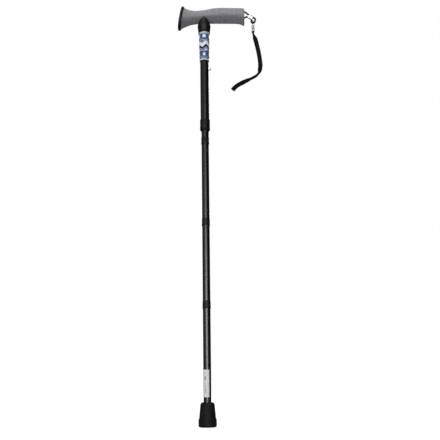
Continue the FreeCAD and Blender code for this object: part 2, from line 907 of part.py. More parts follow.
def round_cord(name, wire, radius):
    """A round cord along a wire, its volume compared with its section times its length."""
    first = wire.Edges[0]
    ring = Part.Wire([Part.makeCircle(radius, first.valueAt(first.FirstParameter), first.tangentAt(0))])
    shape = wire.makePipeShell([ring], True, False)
    ratio = shape.Volume / (math.pi * radius**2 * wire.Length)
    print(name, "volume against section times length", round(ratio, 3))
    assert abs(ratio - 1) < 0.02, name
    return solid_feature(name, shape)


# the anchor cord leaves the nose by two holes, runs side by side through its crimp and ends in an eye
crimp_along = Vector(0.839, 0, -0.544).normalize()
crimp_across = Vector(0.544, 0, 0.839).normalize()
crimp_centre = Vector(plug_face + 14.0, 0, plug_middle - 6.5)
crimp_length = SIZES["cord_crimp_length"]
half_spacing = crimp_across * (SIZES["strand_spacing"] / 2)
crimp_start = crimp_centre - crimp_along * (crimp_length / 2)
crimp_end = crimp_centre + crimp_along * (crimp_length / 2)
eye = Vector(plug_face + 19.4, 0, plug_middle - 20.5)

anchor_route = [
    Vector(hole_end, 0, high_hole),
    Vector(plug_face + 4.6, 0, high_hole),
    crimp_start + half_spacing - crimp_along * 1.0,
    crimp_end + half_spacing + crimp_along * 1.0,
    eye + Vector(5.6, 0, 10.8),
    eye + Vector(5.2, 0, 4.6),
    eye + Vector(2.9, 0, 0),
    eye + Vector(-2.9, 0, 0),
    eye + Vector(-4.3, 0, 4.6),
    crimp_end - half_spacing + crimp_along * 0.6,
    crimp_start - half_spacing - crimp_along * 1.8,
    Vector(plug_face + 2.9, 0, low_hole),
    Vector(hole_end, 0, low_hole),
]
anchor_wire = smooth_route("anchor_cord", anchor_route)
anchor_cord = round_cord("anchor_cord", anchor_wire, cord_radius)
keep(anchor_cord)
crimp_blank = oval_bar(
    SIZES["strand_spacing"] + SIZES["anchor_cord_dia"] + 2 * crimp_wall,
    SIZES["anchor_cord_dia"] + 2 * crimp_wall,
    crimp_length,
    crimp_centre,
    crimp_along,
    crimp_across,
)
keep(solid_feature("cord_crimp", crimp_blank.cut(anchor_cord.Shape)))

# the link loop hangs over the lowest strand of the eye, its legs end on the webbing crimp
link_radius = SIZES["link_cord_dia"] / 2
link_bend = cord_radius + SIZES["free_gap"] + link_radius
link_leg = SIZES["link_leg"]
leg_foot, leg_head = Vector(0, link_bend, -link_leg), Vector(0, link_bend, 0)
link_wire = Part.Wire(
    [
        Part.LineSegment(eye + leg_foot, eye + leg_head).toShape(),
        Part.Arc(eye + leg_head, eye + Vector(0, 0, link_bend), eye + Vector(0, -link_bend, 0)).toShape(),
        Part.LineSegment(eye + Vector(0, -link_bend, 0), eye + Vector(0, -link_bend, -link_leg)).toShape(),
    ]
)
print("link_loop radius", round(link_bend, 1))
keep(round_cord("link_loop", link_wire, link_radius))
webbing_crimp_length = SIZES["webbing_crimp_length"]
crimp_middle = eye - Vector(0, 0, link_leg + webbing_crimp_length / 2)
keep(
    solid_feature(
        "webbing_crimp",
        oval_bar(
            SIZES["webbing_width"] + 2 * crimp_wall,
            2 * SIZES["webbing_thickness"] + SIZES["ply_gap"] + SIZES["webbing_crimp_squeeze"],
            webbing_crimp_length,
            crimp_middle,
            Vector(0, 0, 1),
            Vector(0, 1, 0),
        ),
    )
)

# the wrist loop: two plies of webbing side by side along one route, joined by a fold at each end
band_half = SIZES["ply_gap"] / 2 + SIZES["webbing_thickness"]
webbing_head = crimp_middle - Vector(0, 0, webbing_crimp_length / 2 + band_half + SIZES["free_gap"])
webbing_steps = [
    (0, 0),
    (4.4, -14.5),
    (9.2, -37.0),
    (13.0, -60.0),
    (14.8, -84.0),
    (8.5, -102.0),
    (-7.0, -110.5),
    (-25.0, -118.8),
    (-41.0, -127.5),
    (-47.6, -135.5),
]
webbing_route = [webbing_head + Vector(across, 0, drop) for across, drop in webbing_steps]
webbing_wire = smooth_route("wrist_webbing", webbing_route)
outline = webbing_wire.makeOffset2D(band_half, 0, False, False, False)
hollow = webbing_wire.makeOffset2D(SIZES["ply_gap"] / 2, 0, False, False, False)
band_face = Part.Face(outline).cut(Part.Face(hollow)).Faces[0]
band_face.translate(Vector(0, -SIZES["webbing_width"] / 2, 0))
band = band_face.extrude(Vector(0, SIZES["webbing_width"], 0))
band_length = (outline.Length + hollow.Length) / 2
section = SIZES["webbing_width"] * SIZES["webbing_thickness"]
band_ratio = band.Volume / (section * band_length)
print("wrist_webbing, once round", round(band_length, 1), "ratio", round(band_ratio, 3))
keep(solid_feature("wrist_webbing", band))

# --- check and write -----------------------------------------------------------------------------
doc.recompute()
for item in doc.Objects:
    faults = {"Invalid", "Error"} & set(item.State)
    assert not faults, f"{item.Label}: {faults}"
os.makedirs("parts", exist_ok=True)
for name, item in pieces.items():
    shape = item.Shape
    assert not shape.isNull() and shape.isValid(), f"{name} has no valid shape"
    assert shape.Volume > 0, f"{name} has no volume"
    shape.exportStep(f"parts/{name}.step")
    box = shape.BoundBox
    print(f"{name}: {len(shape.Solids)} solid, {shape.Volume:.0f} mm3, z {box.ZMin:.1f} to {box.ZMax:.1f}")
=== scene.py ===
# %% [markdown]
# # A folding walking cane
# The cane is a black aluminium shaft in four sections, a soft grey T grip on a black neck, a rubber
# tip and a wrist strap on a short cord. Its construction comes ready made as a fixed frame: every
# piece has its real size and place, in metres, with Z up the shaft and the origin under the tip.
# This lesson gives each piece its finish, and models again those whose looks need a finer mesh.

# %% Load the frame
import bmesh
import bpy
import math
from mathutils import Matrix, Vector


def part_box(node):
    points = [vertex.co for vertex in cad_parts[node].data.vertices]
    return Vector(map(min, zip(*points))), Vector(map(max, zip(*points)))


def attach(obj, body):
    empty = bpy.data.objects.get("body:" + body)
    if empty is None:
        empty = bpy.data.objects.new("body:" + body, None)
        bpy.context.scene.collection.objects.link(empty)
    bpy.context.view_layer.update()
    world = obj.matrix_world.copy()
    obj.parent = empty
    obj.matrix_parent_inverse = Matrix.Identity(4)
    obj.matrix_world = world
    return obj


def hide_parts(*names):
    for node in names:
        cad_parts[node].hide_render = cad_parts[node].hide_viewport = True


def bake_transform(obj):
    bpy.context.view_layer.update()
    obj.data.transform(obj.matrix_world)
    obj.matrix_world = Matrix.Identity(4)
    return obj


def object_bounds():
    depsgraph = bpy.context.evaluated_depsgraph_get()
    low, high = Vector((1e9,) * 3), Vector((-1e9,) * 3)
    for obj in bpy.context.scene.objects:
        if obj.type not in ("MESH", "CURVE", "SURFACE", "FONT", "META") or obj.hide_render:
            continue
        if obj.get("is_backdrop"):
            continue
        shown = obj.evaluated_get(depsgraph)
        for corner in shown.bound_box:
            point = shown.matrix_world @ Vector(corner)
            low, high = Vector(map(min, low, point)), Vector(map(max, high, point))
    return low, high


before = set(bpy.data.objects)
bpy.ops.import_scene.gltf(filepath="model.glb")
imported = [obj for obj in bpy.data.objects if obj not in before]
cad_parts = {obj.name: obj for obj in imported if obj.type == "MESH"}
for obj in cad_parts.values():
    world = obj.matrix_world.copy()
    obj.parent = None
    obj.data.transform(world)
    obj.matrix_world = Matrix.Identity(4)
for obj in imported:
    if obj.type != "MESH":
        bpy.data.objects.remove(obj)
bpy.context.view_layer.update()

# %% [markdown]
# ## Measures from the frame
# New pieces take their place from the boxes of the pieces that they stand for, so nothing has to be
# fitted afterwards. Lengths are written in millimetres and become metres in one small function.

# %% Measures
MM = 0.001


def mm(x, y, z):
    """A point given in millimetres."""
    return Vector((x, y, z)) * MM


tube_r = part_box("middle_tube")[1].x / MM
outer_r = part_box("upper_tube")[1].x / MM
upper_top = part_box("upper_tube")[1].z / MM
socket_foot, neck_foot = (corner.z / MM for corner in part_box("label_film"))
film_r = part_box("label_film")[1].x / MM
grip_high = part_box("grip_sleeve")[1]
tip_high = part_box("rubber_tip")[1]
collar_low, collar_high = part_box("locking_collar")
neck_r = 13.3
neck_top = neck_foot + 17.8
grip_base = neck_top + 7.2
print("shaft radii, mm:", round(tube_r, 3), round(outer_r, 3), "neck from", round(neck_foot, 2))

# %% [markdown]
# ## Sums on sockets
# A finish is a small formula: noise, rings, stripes, and a bump made from them. Wrapping a socket in
# a class that knows plus, minus and times lets such a formula be written as one line of arithmetic.

# %% The class for shader sums
class Ink:
    """A socket in a material's node tree, on which sums can be written."""

    def __init__(self, tree, socket=None):
        self.tree = tree
        self.socket = socket

    def node(self, kind, settings=None, inputs=None, outlet=0):
        """Any node: its settings first, then the values or links of its sockets."""
        made = self.tree.nodes.new(kind)
        for name, value in (settings or {}).items():
            setattr(made, name, value)
        for name, value in (inputs or {}).items():
            if isinstance(value, Ink):
                self.tree.links.new(value.socket, made.inputs[name])
            else:
                made.inputs[name].default_value = value
        return Ink(self.tree, made.outputs[outlet])

    def sum(self, operation, *others):
        inputs = dict(enumerate((self,) + others))
        return self.node("ShaderNodeMath", {"operation": operation}, inputs)

    def __add__(self, other):
        return self.sum("ADD", other)

    def __sub__(self, other):
        return self.sum("SUBTRACT", other)

    def __rsub__(self, other):
        return (self * -1.0) + other

    def __mul__(self, other):
        return self.sum("MULTIPLY", other)

    def __gt__(self, other):
        return self.sum("GREATER_THAN", other)

    def __lt__(self, other):
        return self.sum("LESS_THAN", other)

    def __mod__(self, other):
        return self.sum("FLOORED_MODULO", other)

    def sine(self):
        return self.sum("SINE")

    def between(self, low, high):
        """1 where the value lies between two others, and 0 elsewhere."""
        return (self > low) * (self < high)

    def eased(self, low, high):
        """0 below low, 1 above high, and a smooth step from one to the other."""
        inputs = {"Value": self, "From Min": low, "From Max": high}
        return self.node("ShaderNodeMapRange", {"interpolation_type": "SMOOTHSTEP"}, inputs)


def mix(share, low, high):
    """A colour from low to high, by the share from 0 to 1."""
    return share.node("ShaderNodeMix", {"data_type": "RGBA"}, {0: share, 6: low, 7: high}, outlet=2)


def grey(level):
    return (level, level, level, 1.0)


# %% [markdown]
# ## A finish and its recipe
# Every finish is one Principled shader. What is the same all over is set on the shader's own
# sockets, so that it survives an export. What changes comes from a recipe, a function that works
# out noise and patterns from the place on the object.

# %% Making a finish
def finish(name, recipe, **constants):
    """A new material: its shader's constant sockets, and the inks that its recipe returns."""
    material = bpy.data.materials.new(name)
    material.use_nodes = True
    shader = material.node_tree.nodes["Principled BSDF"]
    for socket, value in constants.items():
        shader.inputs[socket.replace("_", " ")].default_value = value
    for socket, ink in recipe(Ink(material.node_tree)).items():
        ink.tree.links.new(ink.socket, shader.inputs[socket.replace("_", " ")])
    print("finish:", name)
    return material


def place(ink):
    """The point on the object, in metres."""
    return ink.node("ShaderNodeTexCoord", outlet="Object")


def along(ink, letter):
    """One coordinate of the point on the object, in metres."""
    return ink.node("ShaderNodeSeparateXYZ", inputs={"Vector": place(ink)}, outlet=letter)


def around_shaft(ink):
    """The angle round the shaft's axis, in radians."""
    return ink.node("ShaderNodeMath", {"operation": "ARCTAN2"}, {0: along(ink, "Y"), 1: along(ink, "X")})


def thread(ink):
    """How far once round a strand, from 0 to 1, and how far along it, in metres."""
    uv = ink.node("ShaderNodeUVMap", {"uv_map": "thread"})
    return [uv.node("ShaderNodeSeparateXYZ", inputs={"Vector": uv}, outlet=letter) for letter in "XY"]


def speckle(ink, scale, detail=2.0, upright=1.0, roughness=0.5):
    """Noise from 0 to 1, with so many grains to the metre, and upright times as many up the shaft."""
    spread = ink.node("ShaderNodeMapping", inputs={"Vector": place(ink), "Scale": (1.0, 1.0, upright)})
    inputs = {"Vector": spread, "Scale": scale, "Detail": detail, "Roughness": roughness}
    return ink.node("ShaderNodeTexNoise", inputs=inputs)


def raised(height, depth, strength=1.0):
    """A bump from a height between 0 and 1, so many metres deep."""
    inputs = {"Height": height, "Distance": depth, "Strength": strength}
    return height.node("ShaderNodeBump", inputs=inputs)


# %% [markdown]
# ## Black finishes
# Nearly everything on the cane is black, yet no two blacks are alike. The tubes are anodised and
# carry faint drawn lines along their length, the mouldings have a fine spark-eroded grain, and the
# rubber is dull with a dusty bloom. The mouldings and the collar share a recipe, with other numbers.

# %% Shaft, mouldings and rubber
def anodised(ink):
    """Satin black tube, with drawn lines and a few rub marks."""
    drawn = speckle(ink, 900.0, 2.0, 0.012)
    cloud = speckle(ink, 30.0, 3.0, 0.35)
    rubs = speckle(ink, 260.0, 4.0, 0.06).eased(0.66, 0.74)
    tone = drawn * 0.35 + cloud * 0.65
    return dict(
        Base_Color=mix(rubs * 0.2, mix(tone, grey(0.002), grey(0.006)), grey(0.04)),
        Roughness=tone * 0.08 + 0.24 - rubs * 0.04,
        Normal=raised(drawn, 0.00002, 0.5),
    )


def moulded(ink, roughness, grain):
    """Black plastic with a fine eroded grain."""
    fine = speckle(ink, grain)
    broad = speckle(ink, 90.0, 3.0)
    return dict(
        Base_Color=mix(broad, grey(0.0045), grey(0.0081)),
        Roughness=broad * 0.1 + fine * 0.06 + (roughness - 0.08),
        Normal=raised(fine, 0.00004, 0.45),
    )


def dusty_rubber(ink):
    """Dull black rubber with a dusty bloom and small mould pits."""
    fine = speckle(ink, 1500.0, 4.0)
    bloom = speckle(ink, 70.0, 5.0, roughness=0.65)
    scuff = along(ink, "Z").eased(0.012, 0.0) * speckle(ink, 400.0, 4.0).eased(0.5, 0.75)
    shade = mix(bloom, grey(0.003), grey(0.012))
    return dict(
        Base_Color=mix(scuff * 0.6, shade, grey(0.075)),
        Roughness=bloom * 0.16 + 0.5,
        Normal=raised(fine * 0.6 + bloom * 0.4, 0.00012, 0.6),
    )


shaft_finish = finish("shaft_black", anodised, Specular_IOR_Level=0.5)
plastic_finish = finish("black_plastic", lambda ink: moulded(ink, 0.42, 2600.0), Specular_IOR_Level=0.2)
collar_finish = finish("collar_plastic", lambda ink: moulded(ink, 0.36, 1800.0), Specular_IOR_Level=0.2)
rubber_finish = finish("tip_rubber", dusty_rubber, Specular_IOR_Level=0.14)

# %% [markdown]
# ## The soft grey grip
# The grip is a grey thermoplastic rubber with a fine mottled surface. A single noise would look
# like sand, so three are added up: a fine grain that the fingers feel, flecks, and a broader mottle
# for the uneven grey. A few pale specks of dust lie over them. Only grain and flecks reach the bump.

# %% Grip rubber
def soft_rubber(ink):
    """Soft grey rubber: grain, flecks and mottle, with pale dust."""
    grain = speckle(ink, 1100.0, 3.0, roughness=0.6)
    fleck = speckle(ink, 520.0).eased(0.42, 0.62)
    mottle = speckle(ink, 290.0).eased(0.36, 0.64)
    tone = fleck * 0.3 + mottle * 0.5 + grain * 0.2
    dust = speckle(ink, 2100.0, 1.0).eased(0.62, 0.7)
    rubber = mix(tone, (0.185, 0.187, 0.205, 1), (0.34, 0.343, 0.365, 1))
    return dict(
        Base_Color=mix(dust * 0.2, rubber, grey(0.5)),
        Roughness=tone * 0.14 + 0.62,
        Normal=raised(grain * 0.7 + fleck * 0.3, 0.00022, 0.7),
    )


grip_finish = finish("grip_rubber", soft_rubber, Specular_IOR_Level=0.25, Sheen_Weight=0.08)

# %% [markdown]
# ## Metals and small parts
# The crimps and the button are bright metal, the leaf is spring steel, washer and pin plain steel.
# A metal gets its colour from its reflection, so its finish is mostly roughness: fine turned lines
# and a few dull patches. The nylon bushes and the shock cord are pale and show a soft gloss.

# %% Metals, nylon and the shock cord
def bare_metal(ink, tint, roughness):
    """Metal with fine turned lines and a few dull patches."""
    fine = speckle(ink, 1600.0, 2.0, 0.15)
    cloud = speckle(ink, 220.0, 4.0)
    return dict(
        Base_Color=mix(cloud, tuple(0.82 * part for part in tint) + (1,), tint + (1,)),
        Roughness=cloud * 0.14 + fine * 0.08 + (roughness - 0.1),
        Normal=raised(fine, 0.00003, 0.4),
    )


def pale_nylon(ink):
    """Pale nylon, a little cloudy."""
    cloud = speckle(ink, 140.0, 3.0)
    return dict(
        Base_Color=mix(cloud, (0.62, 0.60, 0.53, 1), (0.74, 0.72, 0.65, 1)),
        Roughness=cloud * 0.12 + 0.34,
        Normal=raised(speckle(ink, 1500.0), 0.00003, 0.4),
    )


def elastic_cover(ink):
    """The elastic cord's cover: crossed threads, mostly pale with a dark fleck."""
    around = around_shaft(ink)
    climb = along(ink, "Z") * (2 * math.pi / 0.009)
    left = (around * 4.0 + climb * 2.0).sine()
    right = (around * 4.0 - climb * 2.0).sine()
    threads = left * right * 0.5 + 0.5
    fleck = (around * 2.0 + climb).sine() > 0.86
    return dict(
        Base_Color=mix(fleck, mix(threads, grey(0.35), grey(0.7)), grey(0.03)),
        Roughness=threads * -0.15 + 0.85,
        Normal=raised(threads, 0.0002, 0.8),
    )


def metal(name, tint, roughness):
    return finish(name, lambda ink: bare_metal(ink, tint, roughness), Metallic=1.0)


bright_finish = metal("bright_metal", (0.70, 0.73, 0.78), 0.34)
steel_finish = metal("plain_steel", (0.62, 0.62, 0.63), 0.36)
spring_finish = metal("spring_steel", (0.50, 0.52, 0.56), 0.28)
nylon_finish = finish("natural_nylon", pale_nylon, Subsurface_Weight=0.15, Specular_IOR_Level=0.4)
shock_finish = finish("shock_cord_fabric", elastic_cover, Sheen_Weight=0.2)

# %% [markdown]
# ## The printed label
# A printed film wraps the top of the shaft under the neck, in white, blue and near black. Its
# pattern here is a plain one of rings, waves, dots and zigzags. It is worked out from the height and
# the angle round the shaft, so it needs no picture and meets itself at the back.

# %% Label
WHITE = (0.88, 0.91, 0.96, 1)
BLUE = (0.055, 0.115, 0.30, 1)
PALE_BLUE = (0.36, 0.47, 0.70, 1)
NAVY = (0.012, 0.018, 0.045, 1)


def label_print(ink):
    """Printed film: rings, waves, rows of dots and, in the middle, zigzags."""
    length = (neck_foot - socket_foot) * MM
    share = (along(ink, "Z") - socket_foot * MM) * (1 / length)
    turns = around_shaft(ink) * (1 / (2 * math.pi))

    # chevrons in the middle: a saw tooth of the angle bends level stripes into zigzags
    tooth = ((turns * 4.0 + 0.25) % 1.0 - 0.5).sum("ABSOLUTE")
    bent = (share + tooth * 0.22) * 3.4 + 0.1
    chevrons = (bent % 1.0).between(0.0, 0.48)
    thin_chevrons = (bent % 1.0).between(0.58, 0.7)
    # one row of large discs above them and one of small dots below
    cell = (turns * 5.0 + 0.75) % 1.0 - 0.5
    cell_height = length / (2 * math.pi * film_r * MM / 5.0)
    high_row = (share - 0.84) * cell_height
    low_row = (share - 0.2) * cell_height
    discs = (cell * cell + high_row * high_row) < 0.075
    dots = (cell * cell + low_row * low_row) < 0.05
    # a wave between each row and the chevrons
    wave = (turns * (10 * math.pi)).sine() * 0.014
    waves = (share - wave).between(0.7, 0.735) + (share - wave).between(0.305, 0.335)
    # rings that close the print off
    rings = share.between(0.955, 1.1) + share.between(-0.1, 0.04)
    lines = share.between(0.925, 0.945) + share.between(0.06, 0.085) + share.between(0.11, 0.13)

    in_middle = share.between(0.34, 0.695)
    color = mix(in_middle * chevrons, NAVY, WHITE)
    color = mix(in_middle * thin_chevrons, color, PALE_BLUE)
    color = mix(share.between(0.75, 0.925), color, BLUE)
    color = mix(share.between(0.13, 0.29), color, BLUE)
    color = mix(discs + dots, color, WHITE)
    color = mix(waves + lines, color, PALE_BLUE)
    color = mix(rings, color, WHITE)
    wear = speckle(ink, 700.0, 4.0).eased(0.68, 0.74)
    return dict(
        Base_Color=mix(wear * 0.5, color, grey(0.25)),
        Roughness=speckle(ink, 90.0, 3.0) * 0.14 + 0.26,
        Normal=raised(speckle(ink, 500.0), 0.00003, 0.3),
    )


label_finish = finish("printed_film", label_print, Specular_IOR_Level=0.25)

# %% Sticker
sticker_low, sticker_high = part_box("sticker")


def sticker_print(ink):
    """White film with a grey square and a column of plain bars."""
    length = sticker_high.z - sticker_low.z
    share = (along(ink, "Z") - sticker_low.z) * (1 / length)
    turns = (around_shaft(ink) * (1 / (2 * math.pi))) % 1.0
    across = (turns - 0.67) * 5.0
    bars = (share * 24.0 % 1.0).between(0.2, 0.7) * share.between(0.16, 0.46) * across.between(-0.1, 0.16)
    patch = share.between(0.64, 0.76) * across.between(-0.2, 0.16)
    inner = share.between(0.675, 0.725) * across.between(-0.1, 0.06)
    line = share.between(0.84, 0.856) * across.between(-0.2, 0.2)
    marks = bars * 0.75 + (patch - inner) * 0.75 + line * 0.6
    dirt = speckle(ink, 160.0, 4.0)
    film = mix(dirt, (0.9, 0.91, 0.93, 1), (0.97, 0.98, 1.0, 1))
    return dict(
        Base_Color=mix(marks, film, (0.12, 0.13, 0.16, 1)),
        Roughness=dirt * 0.1 + 0.42,
        Normal=raised(speckle(ink, 260.0), 0.00001, 0.2),
    )


sticker_finish = finish("white_film", sticker_print, Specular_IOR_Level=0.2)

# %% [markdown]
# ## Rings into skins
# Most pieces here are closed skins over a row of rings: a grip is rings of sections along its
# length, a turned ring is rings about an axis, and a cord is rings along its path. One function
# joins rings into a piece, and it closes the ends unless the rings run round in a loop.

# %% Adding and settling a piece
def add(name, data):
    """A new object in the scene."""
    made = bpy.data.objects.new(name, data)
    bpy.context.collection.objects.link(made)
    return made


def settle(piece, material, body, stands_for):
    """Give a new piece its finish and its body, and hide the node that it stands for."""
    piece.data.materials.append(material)
    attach(piece, body)
    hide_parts(stands_for)
    print(f"{piece.name}: {len(piece.data.polygons)} faces")


# %% Skins and turned pieces
def circle(steps):
    """So many even angles once round a circle."""
    return [2 * math.pi * step / steps for step in range(steps)]


def skin(name, rings, looped=False, crease=None):
    """A smooth closed piece over rings of equal count. A looped one joins its last ring to its first."""
    shape = bmesh.new()
    rows = [[shape.verts.new(point) for point in ring] for ring in rings]
    pairs = list(zip(rows, rows[1:]))
    if looped:
        pairs.append((rows[-1], rows[0]))
    count = len(rings[0])
    for row, following in pairs:
        for index in range(count):
            after = (index + 1) % count
            shape.faces.new((row[index], row[after], following[after], following[index]))
    if not looped:
        shape.faces.new(rows[0][::-1])
        shape.faces.new(rows[-1])
    bmesh.ops.recalc_face_normals(shape, faces=shape.faces)
    mesh = bpy.data.meshes.new(name)
    shape.to_mesh(mesh)
    shape.free()
    mesh.shade_smooth()
    if crease is not None:
        mesh.set_sharp_from_angle(angle=math.radians(crease))
    return add(name, mesh)


def directions(points):
    """The line's direction at each of its points."""
    ends = [points[0]] + points + [points[-1]]
    return [(after - before).normalized() for before, after in zip(ends, ends[2:])]


def eased(corners, radius, steps=4):
    """An open outline with each inner corner rounded, by a curve that starts and ends a radius away."""
    corners = [Vector(corner) for corner in corners]
    outline = [corners[0]]
    for before, corner, after in zip(corners, corners[1:], corners[2:]):
        trim_in = min(radius, (corner - before).length * 0.48)
        trim_out = min(radius, (after - corner).length * 0.48)
        enter = corner + (before - corner).normalized() * trim_in
        leave = corner + (after - corner).normalized() * trim_out
        for step in range(steps + 1):
            share = step / steps
            outline.append(enter.lerp(corner, share).lerp(corner.lerp(leave, share), share))
    outline.append(corners[-1])
    return outline


def turned(name, outline, steps=96, hollow=True):
    """A piece turned about Z from (radius, height) points in mm. A hollow one's outline is closed."""
    rings = [[mm(r * math.cos(a), r * math.sin(a), z) for a in circle(steps)] for r, z in outline]
    return skin(name, rings, looped=hollow, crease=40)


# %% [markdown]
# ## The grip
# The grip is moulded in one piece: a flat flared palm end, a saddle for the hand, a straight nose
# that ends in a small lip. Its sections are rounder above than below, where the sides are drawn in
# towards the underside, so that a soft edge runs along the middle of each side. Sections placed by
# hand along the length, with a smooth curve through their values, give that form.

# %% towards the underside, so that a soft edge runs along the middle of each side. Sections listed along the
# length, with a smooth curve through their values, give that form.
PALM_LEAN = math.radians(10.5)
# each station: place along X, top, underside, half depth and how full the lower half is
stations = [
    (-51.5, 916.7, 863.2, 20.0, 2.3),
    (-47.5, 914.4, 866.6, 18.6, 2.15),
    (-40.5, 911.6, 870.7, 16.2, 2.0),
    (-30.0, 908.8, 875.0, 14.9, 1.85),
    (-17.5, 907.8, 877.0, 14.3, 1.7),
    (2.0, 909.7, 877.2, 14.3, 1.6),
    (20.4, 913.4, 877.0, 14.5, 1.5),
    (36.4, 914.5, 876.7, 14.9, 1.45),
    (60.5, 913.8, 876.2, 15.0, 1.45),
    (79.9, 913.2, 874.8, 15.0, 1.45),
    (87.5, 912.8, 871.4, 14.85, 1.5),
    (91.0, 912.5, 869.8, 14.7, 1.6),
]
HEEL_X, NOSE_X = stations[0][0], grip_high.x / MM
# the crease and the leaner top come in over this length from the heel
FLARE = 30.0
print("grip from", HEEL_X, "to", round(NOSE_X, 2), "mm")


# %% Grip sections
def grip_station(x):
    """The grip's top, underside, half depth and lower fullness at a place along X, in mm."""
    last = len(stations) - 1
    number = 0
    while number < last - 1 and stations[number + 1][0] < x:
        number += 1
    before, start, end, after = (stations[min(max(number + step, 0), last)] for step in (-1, 0, 1, 2))
    width = end[0] - start[0]
    share = min(max((x - start[0]) / width, 0.0), 1.0)
    square, cube = share**2, share**3
    weights = (2 * cube - 3 * square + 1, cube - 2 * square + share, 3 * square - 2 * cube, cube - square)
    found = []
    for column in range(1, 5):
        # the slope at each end is that of the line through its neighbours
        slope_in = (end[column] - before[column]) / (end[0] - before[0]) * width
        slope_out = (after[column] - start[column]) / (after[0] - start[0]) * width
        values = (start[column], slope_in, end[column], slope_out)
        found.append(sum(weight * value for weight, value in zip(weights, values)))
    return found


def oval(middle, half_height, half_depth, lower, lean, upper=2.35, crease=0.0):
    """A section across X: a full oval above the crease and a leaner one below, tilted about Y."""
    ring = []
    for angle in circle(80):
        fullness = upper if math.sin(angle) > 0 else lower
        across = math.copysign(abs(math.cos(angle)) ** (2 / fullness), math.cos(angle)) * half_depth
        share = abs(math.sin(angle)) ** (2 / fullness)
        edge = half_height if math.sin(angle) > 0 else -half_height
        rise = crease + share * (edge - crease)
        ring.append(mm(middle[0] + rise * math.sin(lean), across, middle[1] + rise * math.cos(lean)))
    return ring


def past_flare(x):
    """0 at the heel, and 1 from the end of the flare on."""
    return min(max((x - HEEL_X) / FLARE, 0.0), 1.0)


def crease_height(x, half_height):
    """How far the widest line of the grip lies above the middle of its section."""
    return -0.2 * half_height * past_flare(x)


def grip_section(x, inset=0.0, place_x=None):
    """The grip's section at a place along X, drawn in by an inset."""
    top, under, depth, lower = grip_station(x)
    lean = PALM_LEAN * (1 - past_flare(x)) ** 1.5
    middle = (x if place_x is None else place_x, (top + under) / 2)
    half_height = (top - under) / 2 - inset
    upper = 2.35 - 0.45 * past_flare(x)
    return oval(middle, half_height, depth - inset, lower, lean, upper, crease_height(x, half_height))


# %% Make the grip
NOSE_ROUND = 2.6
nose_start = NOSE_X - NOSE_ROUND
rings = [grip_section(HEEL_X + (nose_start - HEEL_X) * step / 72) for step in range(73)]
for step in range(1, 7):
    bend = math.radians(15 * step)
    round_x = nose_start + NOSE_ROUND * math.sin(bend)
    rings.append(grip_section(round_x, NOSE_ROUND * (1 - math.cos(bend)), round_x))
rings.append(grip_section(NOSE_X, NOSE_ROUND + 1.2, NOSE_X - 0.35))
settle(skin("grip", rings), grip_finish, "handle", "grip_sleeve")

# %% [markdown]
# ## The palm end cap
# A black plate closes the flared end. It follows the grip's own outline, a little proud of it, with
# a rolled edge and a shallow dish on its face.

# %% Palm end cap
PALM_MIDDLE = (stations[0][1] + stations[0][2]) / 2
PALM_HALF = (stations[0][1] - stations[0][2]) / 2 / math.cos(PALM_LEAN)
PALM_DEPTH = stations[0][3]
# how far out from the grip's end, and the share of its outline
cap_steps = [
    (-3.6, 0.9), (-3.2, 0.955), (-2.8, 0.97), (-1.6, 0.995), (-0.3, 1.012), (0.8, 1.02),
    (1.6, 1.016), (2.3, 1.0), (2.8, 0.975), (3.1, 0.935), (3.1, 0.89), (2.8, 0.82), (2.6, 0.6),
    (2.5, 0.3),
]
rings = []
for out, share in cap_steps:
    middle = (HEEL_X - out * math.cos(PALM_LEAN), PALM_MIDDLE + out * math.sin(PALM_LEAN))
    rings.append(oval(middle, PALM_HALF * share, PALM_DEPTH * share, 2.3, PALM_LEAN))
settle(skin("palm_cap", rings), plastic_finish, "handle", "palm_end_cap")

# %% [markdown]
# ## Neck and crown
# The black neck is turned, but its top is not: two pointed tongues rise from it over the front and
# back of the grip. The neck's rings are carried on upwards, each point to its own height, so that
# the top edge draws the pointed arch. The points are pushed out to lie over the grip's surface.

# %% The crown's shape
CROWN_TOP = neck_top + 17.0
CROWN_BASE = neck_top - 1.5
CROWN_FOOT = neck_top - 0.3
CROWN_HALF = 14.7
TONGUE = 2.2


def grip_depth(x, z):
    """Half depth of the grip at a place and height, and 0 above or below it."""
    top, under, depth, lower = grip_station(x)
    half_height = (top - under) / 2
    crease = crease_height(x, half_height)
    rise = z - (top + under) / 2 - crease
    fullness = 1.9 if rise > 0 else lower
    share = abs(rise) / (half_height - crease if rise > 0 else half_height + crease)
    return depth * max(0.0, 1 - share**fullness) ** (1 / fullness)


def smooth_step(share):
    """A share from 0 to 1 that starts and stops gently."""
    share = min(max(share, 0.0), 1.0)
    return share * share * (3 - 2 * share)


def crown_point(angle, z, sink=0.0):
    """A point of the crown at an angle round the neck and a height, sunk towards the grip."""
    x = CROWN_HALF * math.cos(angle)
    flank = abs(math.sin(angle))
    over = (grip_depth(x, z) + TONGUE) * smooth_step(flank / 0.35) if z > grip_base else 0.0
    depth = ((CROWN_HALF * flank) ** 8 + over**8) ** 0.125
    return mm(x, math.copysign(max(depth - sink, 0.0), math.sin(angle)), z)


